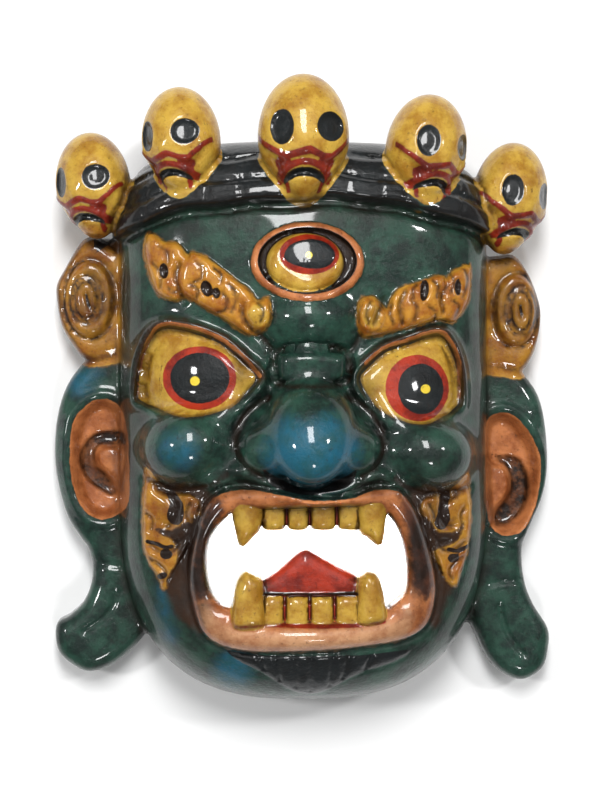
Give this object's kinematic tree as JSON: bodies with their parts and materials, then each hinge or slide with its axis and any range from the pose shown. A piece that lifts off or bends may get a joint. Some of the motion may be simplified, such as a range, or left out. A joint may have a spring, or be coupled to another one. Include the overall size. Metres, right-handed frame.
{
  "type": "carved mask",
  "caption": "Carved and painted wooden mask of a three-eyed, fanged guardian with long ears, ear discs and a crown of skulls, hollow at the back and open at the mouth.",
  "frame": {"origin": "centre of the mask's width and height, in the plane of its flat back rim", "axes": "+Z out of the face, +Y from the chin to the crown, +X to the right as one looks at the face"},
  "size_m": [0.238, 0.292, 0.095],
  "materials": {
    "painted_wood": "gloss"
  },
  "bodies": {
    "root": {"mask": "painted_wood"}
  },
  "joints": []
}
